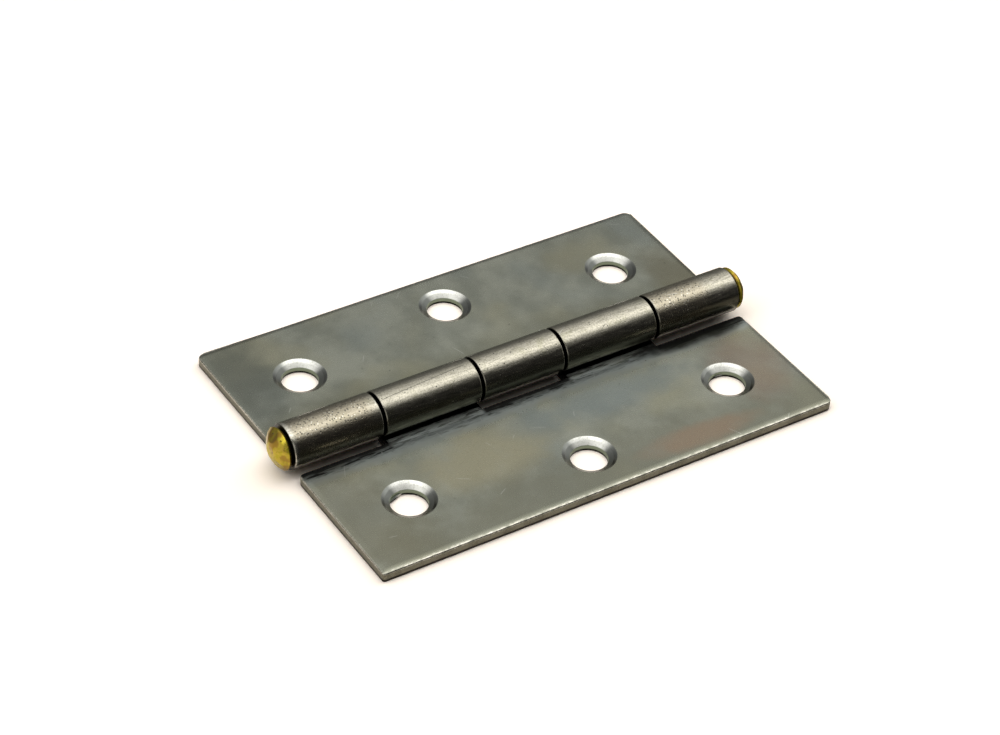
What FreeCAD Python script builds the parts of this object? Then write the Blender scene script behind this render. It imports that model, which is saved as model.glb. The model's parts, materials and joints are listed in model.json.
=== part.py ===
"""Narrow butt hinge lying open and flat, in millimetres.

Two leaves are pressed from one thickness of steel sheet. Each has its inner edge cut into
tongues, and each tongue is rolled into a knuckle: three on one leaf, two on the other. A brass
pin runs through all five and is hammered over into a domed head at both ends.

X runs along the pin, Y across the leaves and Z up. The origin is under the middle of the pin,
in the plane of the two back faces, and the screw holes are countersunk from above. Both plates
are sheared a little further along than the row of knuckles, as on the real pressing.
"""
import FreeCAD
import Part

import math
import os

# The pressed sheet
length = 70.0               # of each plate, and of the row of knuckles
plate_shift = 0.4           # both plates stand this far along from the middle of the pin
leaf_width = 24.4           # from the pin's axis to a leaf's outer edge
sheet = 1.5                 # thickness of the steel
corner_radius = 1.0         # of the two outer corners of each leaf
inner_corner_radius = 0.6   # of the corners beside the end knuckles
face_round = 0.3            # rolled-over edge of the countersunk face

# The rolled knuckles
roll_lift = 0.66            # how far the knuckles' underside stands above the back faces
lead_bend = 2.8             # how much wider than the knuckle the bend into it is
seam_gap = 0.28             # between the end of a roll and the face of its own leaf
end_knuckle = 13.5          # first and last knuckle, from the row's end to the middle of the gap
middle_knuckle = 13.0       # third knuckle, between the middles of its two gaps
row_shift = -0.15           # the row of gaps is cut this far off the middle of the pin
knuckle_gap = 0.45          # clear space between neighbouring knuckles
notch_clear = 0.1           # from the knuckle's side to the edge of the other leaf's notch
rim_break = 0.2             # the broken edge round a knuckle's outer rims
tongue_root = 0.8           # how far a tongue's own section runs into the plate

# The pin
pin_radius = 1.62
pin_fit = 0.05              # running clearance round the pin
head_radius = 2.95
head_seat = 2.35            # radius of the head's flat underside on the end knuckle
head_rim = 0.7              # from the end knuckle out to the head's widest place
head_dome = 1.35            # from the widest place out to the head's tip
hammer_flats = 7            # flats left by the hammer round the tip of the dome
flat_depth = 0.09           # of each flat, into the dome
flat_tilt = 31.0            # degrees between the ring of flats and the tip
swell_out = 0.3             # place of the bulge's middle point, as a share of the rim's height
swell_wide = 0.75           # and as a share of how far the rim stands out past the seat

# The screw holes
hole_radius = 2.5
countersink_radius = 3.62
countersink_depth = 0.7
end_hole_x = 25.0           # the two outer holes of a leaf, each side of its middle
end_hole_y = 14.0           # from the pin's axis
middle_hole_y = 17.8        # the middle hole stands nearer the outer edge

# Sizes that follow
bore_radius = pin_radius + pin_fit
knuckle_radius = bore_radius + sheet
axis_height = knuckle_radius + roll_lift
notch_edge = knuckle_radius + notch_clear
AXIS = FreeCAD.Vector(1, 0, 0)
UP = FreeCAD.Vector(0, 0, 1)
TINY = 1e-4                 # for telling whether an edge lies in a plane
BEYOND = 5.0                # how far a cutting block reaches past the metal


def gap_centres():
    """Middles of the four gaps between the knuckles, from -X to +X."""
    inner = middle_knuckle / 2
    outer = length / 2 - end_knuckle
    return [row_shift + x for x in (-outer, -inner, inner, outer)]


def knuckle_spans():
    """Lowest and highest X of the five knuckles, from -X to +X."""
    half = knuckle_gap / 2
    gaps = gap_centres()
    starts = [-length / 2] + [x + half for x in gaps]
    ends = [x - half for x in gaps] + [length / 2]
    return list(zip(starts, ends))


def around(centre, radius, degrees):
    """The point at an angle on a circle in the plane X = 0; centre is (y, z)."""
    turn = math.radians(degrees)
    y = centre[0] + radius * math.cos(turn)
    z = centre[1] + radius * math.sin(turn)
    return FreeCAD.Vector(0, y, z)


def bend(centre, radius, start, end):
    """An arc edge from one angle to another, in degrees."""
    points = [around(centre, radius, a) for a in (start, (start + end) / 2, end)]
    return Part.Arc(*points).toShape()


def straight(a, b):
    """A straight edge between two points."""
    return Part.LineSegment(a, b).toShape()


def tongue_section():
    """Section of a tongue on the +Y side: its root in the plate, the bend that leads in, the roll."""
    axis = (0.0, axis_height)
    lead_radius = knuckle_radius + lead_bend
    bend_start = math.sqrt(roll_lift * (2 * lead_bend - roll_lift))
    lead = (bend_start, lead_radius)
    meeting = 360 + math.degrees(math.atan2(axis_height - lead_radius, -bend_start))
    seam_drop = axis_height - sheet - seam_gap
    roll_end = -math.degrees(math.asin(seam_drop / knuckle_radius))
    root = max(notch_edge, bend_start) + tongue_root
    back_root = FreeCAD.Vector(0, root, 0)
    face_root = FreeCAD.Vector(0, root, sheet)
    edges = [
        straight(back_root, around(lead, lead_radius, 270)),
        bend(lead, lead_radius, 270, meeting),
        bend(axis, knuckle_radius, meeting, roll_end),
        straight(around(axis, knuckle_radius, roll_end), around(axis, bore_radius, roll_end)),
        bend(axis, bore_radius, roll_end, meeting),
        bend(lead, lead_radius - sheet, meeting, 270),
        straight(around(lead, lead_radius - sheet, 270), face_root),
        straight(face_root, back_root),
    ]
    return Part.Face(Part.Wire(edges))


def rim_edges(solid):
    """Edges of a rolled tongue's two sides that run round the outside of the knuckle."""
    outside = (knuckle_radius, knuckle_radius + lead_bend)
    found = []
    for edge in solid.Edges:
        radius = getattr(edge.Curve, "Radius", 0.0)
        if any(abs(radius - r) < TINY for r in outside):
            found.append(edge)
    return found


def tongue(start, end):
    """One tongue of the sheet, rolled into a knuckle between two stations along the pin."""
    section = tongue_section()
    section.translate(FreeCAD.Vector(start, 0, 0))
    solid = section.extrude(FreeCAD.Vector(end - start, 0, 0))
    return solid.makeChamfer(rim_break, rim_edges(solid))


def screw_hole(x, y):
    """A punched hole with its countersink, as the solid to cut away."""
    slope = (countersink_radius - hole_radius) / countersink_depth
    shank = Part.makeCylinder(hole_radius, sheet + 2 * BEYOND, FreeCAD.Vector(x, y, -BEYOND))
    seat = Part.makeCone(hole_radius, countersink_radius + slope * BEYOND, countersink_depth + BEYOND,
                         FreeCAD.Vector(x, y, sheet - countersink_depth))
    return shank.fuse(seat)


def hole_places():
    """Centres of a leaf's three screw holes, on the +Y side."""
    steps = ((-end_hole_x, end_hole_y), (0.0, middle_hole_y), (end_hole_x, end_hole_y))
    return [(plate_shift + x, y) for x, y in steps]


def upright_edges(solid, y):
    """Upright edges of a plate at a distance from the axis."""
    found = []
    for edge in solid.Edges:
        box = edge.BoundBox
        upright = box.XLength < TINY and box.YLength < TINY
        if upright and abs(box.YMin - y) < TINY:
            found.append(edge)
    return found


def face_edges(solid):
    """Edges round the countersunk face of a plate."""
    return [edge for edge in solid.Edges if abs(edge.BoundBox.ZMin - sheet) < TINY]


def plate(inner_radius):
    """The flat of a leaf on the +Y side, with the given rounding of the corners by the knuckles."""
    solid = Part.makeBox(length, leaf_width - notch_edge, sheet,
                         FreeCAD.Vector(plate_shift - length / 2, notch_edge, 0))
    solid = solid.makeFillet(corner_radius, upright_edges(solid, leaf_width))
    if inner_radius > 0:
        solid = solid.makeFillet(inner_radius, upright_edges(solid, notch_edge))
    return solid.makeFillet(face_round, face_edges(solid))


def leaf(knuckles, inner_radius):
    """A leaf on the +Y side that carries the knuckles with the given numbers, from 0 to 4."""
    spans = knuckle_spans()
    solid = plate(inner_radius).fuse([tongue(*spans[number]) for number in knuckles])
    solid = solid.removeSplitter()
    for x, y in hole_places():
        solid = solid.cut(screw_hole(x, y))
    return solid


def ball_radius():
    """Radius of the ball that a head's dome is part of."""
    return (head_dome ** 2 + head_radius ** 2) / (2 * head_dome)


def head_section():
    """Half section of one head on the +X side, from the end knuckle outwards."""
    seat_x = length / 2
    rim_x = seat_x + head_rim
    tip_x = rim_x + head_dome
    axis = FreeCAD.Vector(seat_x, 0, axis_height)
    seat = FreeCAD.Vector(seat_x, 0, axis_height + head_seat)
    rim = FreeCAD.Vector(rim_x, 0, axis_height + head_radius)
    tip = FreeCAD.Vector(tip_x, 0, axis_height)
    ball = ball_radius()
    half_turn = math.asin(head_radius / ball) / 2
    if head_dome > head_radius:
        half_turn = (math.pi - math.asin(head_radius / ball)) / 2
    between = FreeCAD.Vector(tip_x - ball + ball * math.cos(half_turn), 0,
                             axis_height + ball * math.sin(half_turn))
    swell = FreeCAD.Vector(seat_x + swell_out * head_rim, 0,
                           axis_height + head_seat + swell_wide * (head_radius - head_seat))
    edges = [
        straight(axis, seat),
        Part.Arc(seat, swell, rim).toShape(),
        Part.Arc(rim, between, tip).toShape(),
        straight(tip, axis),
    ]
    return Part.Face(Part.Wire(edges))


def hammered(head):
    """The head with one flat at its tip and a ring of flats round it."""
    ball = ball_radius()
    centre = FreeCAD.Vector(length / 2 + head_rim + head_dome - ball, 0, axis_height)
    places = [(0.0, 0.0)]
    for i in range(hammer_flats):
        places.append((flat_tilt, 360.0 * i / hammer_flats))
    size = 2 * head_radius
    for tilt, turn in places:
        block = Part.makeBox(size, size, size, FreeCAD.Vector(ball - flat_depth, -size / 2, -size / 2))
        block.rotate(FreeCAD.Vector(), FreeCAD.Vector(0, 1, 0), tilt)
        block.rotate(FreeCAD.Vector(), AXIS, turn)
        block.translate(centre)
        head = head.cut(block)
    return head


def pin():
    """The brass pin with both of its hammered heads, as one solid."""
    middle = FreeCAD.Vector(0, 0, axis_height)
    foot = middle - AXIS * (length / 2)
    shank = Part.makeCylinder(pin_radius, length, foot, AXIS)
    head = hammered(head_section().revolve(middle, AXIS, 360))
    other = head.copy()
    other.rotate(middle, UP, 180)
    return shank.fuse([head, other]).removeSplitter()


def main():
    """Builds the three pieces and writes each to its own file."""
    back_leaf = leaf((0, 2, 4), 0.0)
    front_leaf = leaf((1, 3), inner_corner_radius).mirror(FreeCAD.Vector(), FreeCAD.Vector(0, 1, 0))
    pieces = {"three_knuckle_leaf": back_leaf, "two_knuckle_leaf": front_leaf, "hinge_pin": pin()}
    os.makedirs("parts", exist_ok=True)
    for name, shape in pieces.items():
        shape.exportStep("parts/" + name + ".step")
        box = shape.BoundBox
        print(name, "solids", len(shape.Solids), "valid", shape.isValid(),
              "volume", round(shape.Volume, 1), "box", [round(v, 2) for v in
              (box.XMin, box.XMax, box.YMin, box.YMax, box.ZMin, box.ZMax)])


main()
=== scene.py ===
"""Looks of a narrow butt hinge lying open: two rolled steel leaves and a hammered brass pin.

Lengths are in metres. X runs along the pin, Y across the leaves and Z up. The overall sizes come
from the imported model, and the details of the pressing follow from the sizes named here.
"""
import json
import logging
import math
from collections.abc import Callable, Iterator, Mapping, Sequence
from contextlib import contextmanager
from dataclasses import dataclass, field
from enum import Enum

import bmesh
import bpy
from mathutils import Matrix, Vector

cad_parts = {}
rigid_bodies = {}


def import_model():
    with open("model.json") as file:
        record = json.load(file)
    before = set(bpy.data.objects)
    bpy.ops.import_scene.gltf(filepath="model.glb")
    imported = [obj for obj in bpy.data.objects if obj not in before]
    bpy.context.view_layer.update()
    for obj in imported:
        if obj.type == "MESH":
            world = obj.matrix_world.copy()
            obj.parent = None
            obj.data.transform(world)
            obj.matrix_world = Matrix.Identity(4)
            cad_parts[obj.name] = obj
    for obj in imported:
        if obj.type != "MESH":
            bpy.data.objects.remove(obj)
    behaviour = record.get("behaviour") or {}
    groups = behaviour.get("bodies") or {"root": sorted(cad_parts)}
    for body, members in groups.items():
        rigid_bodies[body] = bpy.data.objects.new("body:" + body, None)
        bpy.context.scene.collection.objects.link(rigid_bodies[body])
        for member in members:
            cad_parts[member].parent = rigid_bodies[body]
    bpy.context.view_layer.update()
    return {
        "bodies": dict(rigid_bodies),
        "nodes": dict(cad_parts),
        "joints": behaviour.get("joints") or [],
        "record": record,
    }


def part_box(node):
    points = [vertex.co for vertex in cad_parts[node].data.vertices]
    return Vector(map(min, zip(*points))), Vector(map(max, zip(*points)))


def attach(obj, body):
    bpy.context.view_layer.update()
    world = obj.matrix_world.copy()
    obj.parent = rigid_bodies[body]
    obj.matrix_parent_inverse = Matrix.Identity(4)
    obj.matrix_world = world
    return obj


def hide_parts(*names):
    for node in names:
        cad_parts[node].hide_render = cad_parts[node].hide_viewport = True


MM = 0.001
TINY = 2e-6
HALF_TURN = 180
NOISE_MIDDLE = 0.5
NORMAL_WEIGHT = 80
UNSCALED = (1.0, 1.0, 1.0)

# From a hole's near side to its far side in the photograph, as X and Y
# The countersinks' painted highlight lies towards the far side, and their painted shade towards the near
# side
FAR = (0.579, 0.815)

Colour = tuple[float, float, float]
Place = tuple[float, float, float]
Scale = tuple[float, float, float]

# Where a soft step starts and where it ends
Band = tuple[float, float]

# Size of the clouds, their detail and their roughness
Noise = tuple[float, float, float]

# Distance between specks, their radius and the share of places that have one
Specks = tuple[float, float, float]

# Distance between scratches, half their length and width, the share of places that have one, and
# the most that they turn, in radians
Lines = tuple[float, float, float, float, float]

log = logging.getLogger("hinge")


class Side(Enum):
    """Which way a leaf lies from the pin, as the sign of its Y."""

    BACK = 1
    FRONT = -1


class Rounding(Enum):
    """How far an edge is rounded, as a share of the rolled-over edge of the face."""

    ROLLED = 1.0
    RIM = 0.67
    ARRIS = 0.35
    SHEARED = 0.3
    PUNCHED = 0.12
    NONE = 0.0


@dataclass(frozen=True)
class Press:
    """Sizes that both leaves are pressed to, and that the pin fits.

    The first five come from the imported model, by from_frame.
    """

    length: float
    plate_shift: float
    leaf_width: float
    axis_height: float
    knuckle_radius: float
    sheet: float = 1.5 * MM
    face_round: float = 0.3 * MM
    roll_width: float = 0.9 * MM
    roll_drop: float = 0.2 * MM
    lead_bend: float = 2.8 * MM
    seam_gap: float = 0.28 * MM
    end_knuckle: float = 13.5 * MM
    middle_knuckle: float = 13.0 * MM
    row_shift: float = -0.15 * MM
    knuckle_gap: float = 0.45 * MM
    notch_clear: float = 0.1 * MM
    tongue_root: float = 0.8 * MM
    hole_radius: float = 2.5 * MM
    countersink_radius: float = 3.62 * MM
    countersink_depth: float = 0.7 * MM
    end_hole_x: float = 25.0 * MM
    end_hole_y: float = 14.0 * MM
    middle_hole_y: float = 17.8 * MM

    @classmethod
    def from_frame(cls, frame: Mapping[str, object]) -> "Press":
        """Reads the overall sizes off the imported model.


        Returns:
            The sizes with the length, place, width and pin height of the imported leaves.
        """
        low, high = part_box("two_knuckle_leaf")
        axis_height = frame["joints"][0]["pos_m"][2]
        return cls(high.x - low.x, (low.x + high.x) / 2, -low.y, axis_height, high.z - axis_height)

    @property
    def notch_edge(self) -> float:
        """From the axis to the edge of a leaf's plate."""
        return self.knuckle_radius + self.notch_clear

    @property
    def plate_ends(self) -> tuple[float, float]:
        """Lowest and highest X of both plates."""
        return self.plate_shift - self.length / 2, self.plate_shift + self.length / 2

    @property
    def bend_start(self) -> float:
        """From the axis to where the sheet leaves its flat and turns up to the knuckle."""
        lift = self.axis_height - self.knuckle_radius
        return math.sqrt(lift * (2 * self.lead_bend - lift))

    def spans(self) -> list[tuple[float, float]]:
        """Places of the five knuckles, from -X to +X.

        Returns:
            Lowest and highest X of each knuckle.
        """
        inner = self.middle_knuckle / 2
        outer = self.length / 2 - self.end_knuckle
        gaps = [self.row_shift + x for x in (-outer, -inner, inner, outer)]
        half = self.knuckle_gap / 2
        starts = [-self.length / 2] + [x + half for x in gaps]
        ends = [x - half for x in gaps] + [self.length / 2]
        return list(zip(starts, ends))

    def hole_places(self, side: Side) -> list[tuple[float, float]]:
        """Places of a leaf's three screw holes.

        Args:
            side: which leaf.

        Returns:
            X and Y of each hole's centre.
        """
        ends = side.value * self.end_hole_y
        middle = side.value * self.middle_hole_y
        steps = ((-self.end_hole_x, ends), (0.0, middle), (self.end_hole_x, ends))
        return [(self.plate_shift + x, y) for x, y in steps]


def make_active(piece: bpy.types.Object) -> None:
    """Selects one object alone.

    Args:
        piece: the object.
    """
    bpy.ops.object.select_all(action="DESELECT")
    piece.select_set(True)
    bpy.context.view_layer.objects.active = piece


@contextmanager
def edit_mode(piece: bpy.types.Object) -> Iterator[None]:
    """Holds one object in edit mode, with nothing of its mesh selected at the start.

    Args:
        piece: the object.

    Returns:
        A context that goes back to object mode at its end.
    """
    make_active(piece)
    bpy.ops.object.mode_set(mode="EDIT")
    bpy.ops.mesh.select_all(action="DESELECT")
    yield
    bpy.ops.object.mode_set(mode="OBJECT")


def pick(piece: bpy.types.Object, kind: str, test: Callable[..., bool]) -> int:
    """Selects the vertices, edges or faces that a test names, in edit mode.

    Args:
        piece: the object in edit mode.
        kind: VERT, EDGE or FACE.
        test: is given a vertex's place, an edge's two ends, or a face's middle and normal.

    Returns:
        How many were selected.
    """
    bpy.ops.mesh.select_mode(type=kind)
    bpy.ops.mesh.select_all(action="DESELECT")
    mesh = bmesh.from_edit_mesh(piece.data)
    if kind == "VERT":
        chosen = [v for v in mesh.verts if test(v.co)]
    elif kind == "EDGE":
        chosen = [e for e in mesh.edges if test(e.verts[0].co, e.verts[1].co)]
    else:
        chosen = [f for f in mesh.faces if test(f.calc_center_median(), f.normal)]
    for element in chosen:
        element.select_set(True)
    bmesh.update_edit_mesh(piece.data)
    return len(chosen)


def extrude(step: Vector) -> None:
    """Extrudes what is selected by a step."""
    bpy.ops.mesh.extrude_region_move(TRANSFORM_OT_translate={"value": step})


def apply_modifier(piece: bpy.types.Object, kind: str, **settings: object) -> None:
    """Adds a modifier to an object and applies it.

    Args:
        piece: the object.
        kind: the modifier's type.
        settings: its properties by name.
    """
    make_active(piece)
    modifier = piece.modifiers.new(kind.title(), kind)
    for name, value in settings.items():
        setattr(modifier, name, value)
    bpy.ops.object.modifier_apply(modifier=modifier.name)


def finish_mesh(piece: bpy.types.Object, name: str, smooth_below: float = 40.0) -> None:
    """Names a piece and gives it clean, smooth shading.

    Args:
        piece: the finished mesh.
        name: the name of the piece.
        smooth_below: degrees between two faces below which their edge is shaded smooth.
    """
    piece.name = name
    piece.data.name = name
    make_active(piece)
    bpy.ops.object.transform_apply(location=True, rotation=True, scale=True)
    bpy.ops.object.shade_smooth_by_angle(angle=math.radians(smooth_below))
    apply_modifier(piece, "WEIGHTED_NORMAL", keep_sharp=True, weight=NORMAL_WEIGHT)


class Value:
    """A number that varies over a surface: a socket with arithmetic."""

    def __init__(self, nodes: "Nodes", socket: bpy.types.NodeSocket) -> None:
        """Wraps an output socket of a material's nodes."""
        self.nodes = nodes
        self.socket = socket

    def _math(self, operation: str, *values: object) -> "Value":
        """Adds a Math node on the given values."""
        return self.nodes.value("ShaderNodeMath", {"operation": operation}, dict(enumerate(values)))

    def __add__(self, other: object) -> "Value":
        """Sum."""
        return self._math("ADD", self, other)

    __radd__ = __add__

    def __sub__(self, other: object) -> "Value":
        """Difference."""
        return self._math("SUBTRACT", self, other)

    def __rsub__(self, other: object) -> "Value":
        """Difference, from a plain number."""
        return self._math("SUBTRACT", other, self)

    def __mul__(self, other: object) -> "Value":
        """Product."""
        return self._math("MULTIPLY", self, other)

    __rmul__ = __mul__

    def __truediv__(self, other: object) -> "Value":
        """Quotient."""
        return self._math("DIVIDE", self, other)

    def __pow__(self, other: object) -> "Value":
        """Power."""
        return self._math("POWER", self, other)

    def __abs__(self) -> "Value":
        """Size without its sign."""
        return self._math("ABSOLUTE", self)

    def least(self, other: object) -> "Value":
        """The smaller of two."""
        return self._math("MINIMUM", self, other)

    def most(self, other: object) -> "Value":
        """The larger of two."""
        return self._math("MAXIMUM", self, other)

    def cosine(self) -> "Value":
        """Cosine of an angle in radians."""
        return self._math("COSINE", self)

    def sine(self) -> "Value":
        """Sine of an angle in radians."""
        return self._math("SINE", self)

    def turn_to(self, other: object) -> "Value":
        """Angle in radians of the point that has this as its height and other as its base."""
        return self._math("ARCTAN2", self, other)

    def fade(self, start: float, end: float) -> "Value":
        """A soft step from 0 at start to 1 at end; start may be the larger."""
        return self.nodes.value("ShaderNodeMapRange", {"interpolation_type": "SMOOTHSTEP"},
                                {"Value": self, "From Min": start, "From Max": end})

    def fade_from(self, base: float, band: Band) -> "Value":
        """A soft step whose start and end are counted from a base."""
        return self.fade(base + band[0], base + band[1])


class Nodes:
    """The nodes of one material."""

    # A Mix node's sockets for colours and for numbers, which have the same names
    COLOUR_SOCKETS = (6, 7)
    NUMBER_SOCKETS = (2, 3)
    COLOUR_OUTPUT = 2

    # The full part of a speck and of a scratch's width, and the step of a cell's chance
    SPECK_CORE = 0.4
    LINE_CORE = 0.2
    CHANCE_STEP = 0.01

    # The shortest scratch, as a share of the longest, and where its taper starts
    SHORTEST = 0.35
    TAPER = 0.6

    def __init__(self, tree: bpy.types.NodeTree) -> None:
        """Starts on an empty tree."""
        self.tree = tree
        tree.nodes.clear()

    def node(self, kind: str, settings: Mapping[str, object] = {},
             sockets: Mapping[object, object] = {}) -> bpy.types.Node:
        """Adds a node.

        Args:
            kind: the node's type.
            settings: its properties, set first; stops are a ramp's places and colours.
            sockets: values or links of its inputs, by name or number.

        Returns:
            The new node.
        """
        made = self.tree.nodes.new(kind)
        for name, setting in settings.items():
            if name == "stops":
                self._set_stops(made.color_ramp, setting)
            else:
                setattr(made, name, setting)
        for key, value in sockets.items():
            socket = made.inputs[key]
            if isinstance(value, Value):
                self.tree.links.new(value.socket, socket)
            elif isinstance(value, bpy.types.NodeSocket):
                self.tree.links.new(value, socket)
            elif isinstance(value, tuple) and len(value) == 3 and socket.type == "RGBA":
                socket.default_value = (*value, 1.0)
            else:
                socket.default_value = value
        return made

    @staticmethod
    def _set_stops(ramp: bpy.types.ColorRamp, stops: Sequence[tuple[float, Colour]]) -> None:
        """Gives a ramp its stops.

        Args:
            ramp: the ramp of a Color Ramp node.
            stops: the place and colour of each stop, in order.
        """
        while len(ramp.elements) < len(stops):
            ramp.elements.new(1.0)
        for element, (place, colour) in zip(ramp.elements, stops):
            element.position = place
            element.color = (*colour, 1.0)

    def value(self, kind: str, settings: Mapping[str, object] = {},
              sockets: Mapping[object, object] = {}, output: object = 0) -> Value:
        """Adds a node and returns one of its outputs."""
        return Value(self, self.node(kind, settings, sockets).outputs[output])

    def place(self) -> Value:
        """Place on the object, in metres."""
        return self.value("ShaderNodeTexCoord", output="Object")

    def parts_of(self, vector: Value) -> tuple[Value, Value, Value]:
        """X, Y and Z of a vector."""
        made = self.node("ShaderNodeSeparateXYZ", {}, {0: vector})
        return tuple(Value(self, made.outputs[i]) for i in range(3))

    def point(self, x: Value, y: Value) -> Value:
        """A flat place as a vector."""
        return self.value("ShaderNodeCombineXYZ", {}, {0: x, 1: y})

    def stretch(self, vector: Value, scale: Scale, turn: float = 0.0) -> Value:
        """A place turned about Z and scaled along each axis."""
        turned = self.value("ShaderNodeMapping", {}, {0: vector, "Rotation": (0.0, 0.0, turn)})
        return self.value("ShaderNodeMapping", {}, {0: turned, "Scale": scale})

    def noise(self, vector: Value, size: float, detail: float, rough: float) -> Value:
        """Cloudy noise about 0.5, with clouds of about the given size."""
        return self.value("ShaderNodeTexNoise", {}, {"Vector": vector, "Scale": 1.0 / size,
                                                     "Detail": detail, "Roughness": rough})

    def mix(self, share: object, first: object, second: object) -> Value:
        """A colour between two colours.

        Args:
            share: how much of the second shows, from 0 to 1.
            first: a colour or a value.
            second: a colour or a value.

        Returns:
            The mixed colour.
        """
        first_socket, second_socket = self.COLOUR_SOCKETS
        return self.value("ShaderNodeMix", {"data_type": "RGBA"},
                          {0: share, first_socket: first, second_socket: second},
                          output=self.COLOUR_OUTPUT)

    def mix_numbers(self, share: Value, first: object, second: object) -> Value:
        """A number between two numbers.

        Args:
            share: how much of the second shows, from 0 to 1.
            first: a number or a value.
            second: a number or a value.

        Returns:
            The mixed number.
        """
        first_socket, second_socket = self.NUMBER_SOCKETS
        return self.value("ShaderNodeMix", {"data_type": "FLOAT"},
                          {0: share, first_socket: first, second_socket: second})

    def specks(self, vector: Value, pitch: float, size: float, share: float) -> Value:
        """Round specks, one in some of the cells of a net.

        Args:
            vector: the place.
            pitch: distance between cells.
            size: radius of a speck.
            share: part of the cells that has a speck.

        Returns:
            1 in a speck and 0 outside.
        """
        net = self.node("ShaderNodeTexVoronoi", {}, {"Vector": vector, "Scale": 1.0 / pitch})
        chance = self.parts_of(Value(self, net.outputs["Color"]))[0]
        near = Value(self, net.outputs["Distance"]).fade(size / pitch, self.SPECK_CORE * size / pitch)
        return near * chance.fade(1 - share, 1 - share + self.CHANCE_STEP)

    def scratches(self, x: Value, y: Value, pitch: float, length: float, width: float,
                  share: float, lean: float) -> Value:
        """Short straight scratches, one in some of the cells of a flat net.

        Args:
            x: place along the surface.
            y: place across it.
            pitch: distance between cells.
            length: half the length of a scratch.
            width: half its width.
            share: part of the cells that has a scratch.
            lean: the most that a scratch turns from X, in radians.

        Returns:
            1 on a scratch and 0 outside.
        """
        net = self.node("ShaderNodeTexVoronoi", {"voronoi_dimensions": "2D"},
                        {"Vector": self.point(x, y), "Scale": 1.0 / pitch})
        red, green, blue = self.parts_of(Value(self, net.outputs["Color"]))
        centre_x, centre_y, _ = self.parts_of(Value(self, net.outputs["Position"]))
        turn = (red * 2 - 1) * lean
        along = abs((x - centre_x) * turn.cosine() + (y - centre_y) * turn.sine())
        across = abs((y - centre_y) * turn.cosine() - (x - centre_x) * turn.sine())
        reach = length * (self.SHORTEST + (1 - self.SHORTEST) * blue)
        line = across.fade(width, self.LINE_CORE * width) * (along / reach).fade(1.0, self.TAPER)
        return line * green.fade(1 - share, 1 - share + self.CHANCE_STEP)

    def finish_metal(self, base: Value, rough: Value, height: Value, strength: float,
                     depth: float) -> None:
        """Closes the material with a metal surface.

        Args:
            base: its colour.
            rough: its roughness.
            height: its relief, in parts of the depth.
            strength: how much of the relief shows.
            depth: depth of a relief of 1.
        """
        normal = self.value("ShaderNodeBump", {}, {"Strength": strength, "Distance": depth,
                                                   "Height": height})
        shader = self.value("ShaderNodeBsdfPrincipled", {},
                            {"Base Color": base, "Metallic": 1.0, "Roughness": rough, "Normal": normal})
        self.node("ShaderNodeOutputMaterial", {}, {"Surface": shader})


@dataclass(frozen=True)
class Stain:
    """A soft patch of another colour on a leaf, with its middle and half sizes."""

    x: float
    y: float
    along: float
    across: float
    tint: Colour
    strength: float
    raggedness: float = 1.4
    edge: Band = (1.3, 0.0)

    def cover(self, x: Value, y: Value, rag: Value) -> Value:
        """Where the stain shows.

        Args:
            x: place along the pin.
            y: place across the leaves.
            rag: noise that makes its edge ragged.

        Returns:
            From 0 outside to its strength in its middle.
        """
        left = (x - self.x) / self.along
        down = (y - self.y) / self.across
        far = left * left + down * down + (rag - NOISE_MIDDLE) * self.raggedness
        return far.fade(*self.edge) * self.strength


@dataclass(frozen=True)
class Scratch:
    """A long scratch on the knuckles, between two places given by X and distance round them.

    Its width is counted from its middle, and the core is the part of it that is full.
    """

    start: tuple[float, float]
    end: tuple[float, float]
    width: float
    core: float = 0.3
    start_taper: Band = (0.0, 0.04)
    end_taper: Band = (1.0, 0.9)

    def cover(self, x: Value, turn: Value) -> Value:
        """Where the scratch is.

        Args:
            x: place along the pin.
            turn: distance round the knuckle.

        Returns:
            1 on the scratch and 0 outside.
        """
        share = (x - self.start[0]) / (self.end[0] - self.start[0])
        off = abs(turn - (share * (self.end[1] - self.start[1]) + self.start[1]))
        ends = share.fade(*self.start_taper) * share.fade(*self.end_taper)
        return off.fade(self.width, self.core * self.width) * ends


@dataclass(frozen=True)
class Burr:
    """A sliver of torn metal in a hole, from one place on the wall straight to another.

    Its start and end are degrees round the hole from +X, and low and high its heights.
    """

    hole: int
    start: float
    end: float
    low: float
    high: float


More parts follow.
